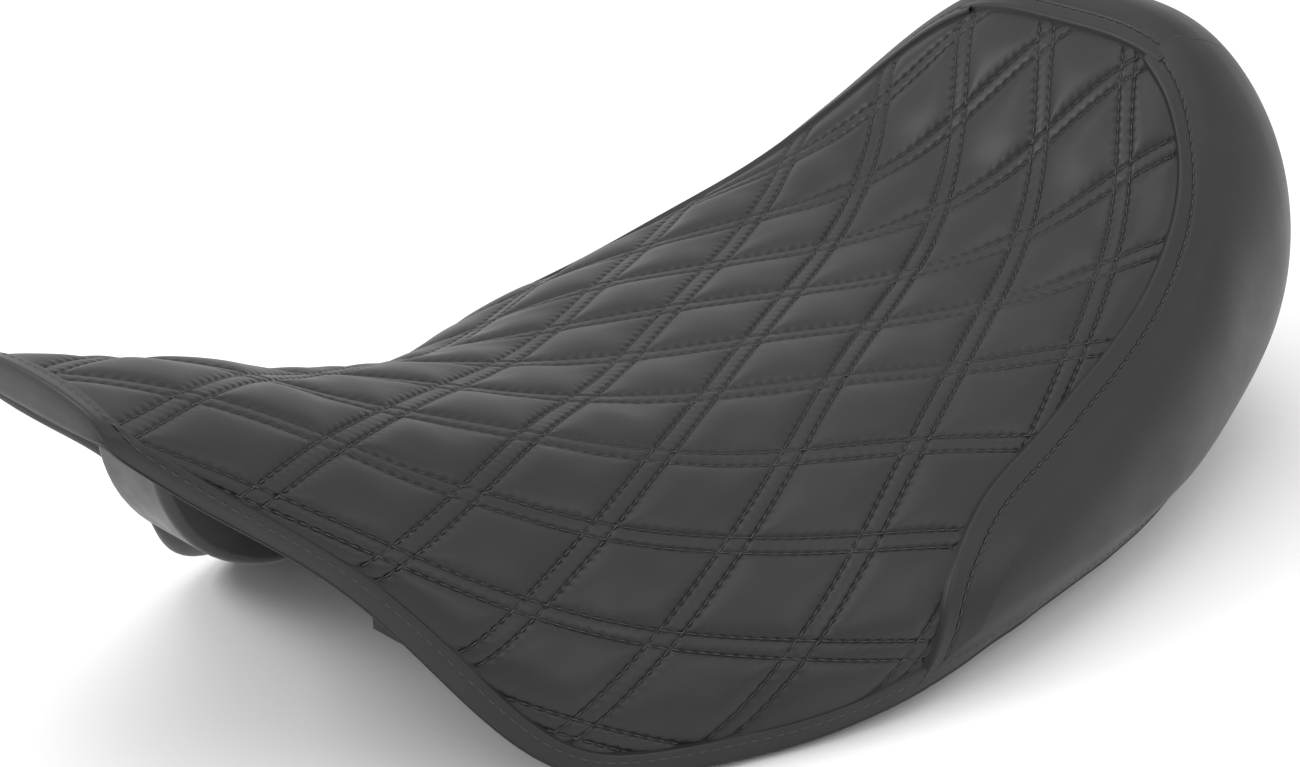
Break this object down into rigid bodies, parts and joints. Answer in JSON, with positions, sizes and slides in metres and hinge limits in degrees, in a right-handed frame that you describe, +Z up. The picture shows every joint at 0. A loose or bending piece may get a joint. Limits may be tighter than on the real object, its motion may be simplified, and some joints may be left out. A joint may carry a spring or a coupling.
{
  "type": "motorcycle seat",
  "caption": "Low solo motorcycle seat with a diamond-stitched vinyl cover, plain rear border, moulded pan and captive rear mounting screw.",
  "frame": {"origin": "middle of the seat's base, on the surface it stands on", "axes": "+X towards the nose (front of the motorcycle), +Y to the rider's left, +Z up"},
  "size_m": [0.644, 0.3302, 0.1892],
  "materials": {
    "quilt_vinyl": "matte",
    "border_vinyl": "matte",
    "facing_vinyl": "matte",
    "pan_plastic": "satin",
    "core_foam": "matte",
    "sew_foam": "matte",
    "felt": "matte",
    "pad_foam": "matte",
    "bumper_rubber": "matte",
    "coated_steel": "satin",
    "nylon": "satin",
    "screw_metal": "polished",
    "rivet_metal": "satin",
    "staple_steel": "satin"
  },
  "bodies": {
    "seat": {"base_pan": "pan_plastic", "foam_core": "core_foam", "quilt_sew_foam": "sew_foam", "border_sew_foam": "sew_foam", "quilted_panel": "quilt_vinyl", "rear_border_panel": "border_vinyl", "nose_facing": "facing_vinyl", "tail_facing": "facing_vinyl", "edge_skirt": "facing_vinyl", "cover_staples": "staple_steel", "felt_pad": "felt", "tank_pad": "pad_foam", "front_bumpers": "bumper_rubber", "middle_bumpers": "bumper_rubber", "rear_bumpers": "bumper_rubber", "front_tongue": "coated_steel", "rear_tab": "coated_steel", "tab_bush": "bumper_rubber", "front_rivets": "rivet_metal", "rear_rivets": "rivet_metal", "front_rivet_washers": "rivet_metal", "rear_rivet_washers": "rivet_metal"},
    "screw_carrier": {"retaining_clip": "nylon"},
    "screw": {"thumb_screw": "screw_metal"}
  },
  "joints": [
    {"name": "screw_float", "type": "slide", "parent": "seat", "child": "screw_carrier", "axis": [0, 0, 1], "range_m": [0, 0.0025]},
    {"name": "screw_turn", "type": "hinge", "parent": "screw_carrier", "child": "screw", "pos_m": [-0.308, 0, 0.01], "axis": [0, 0, 1], "continuous": true}
  ]
}
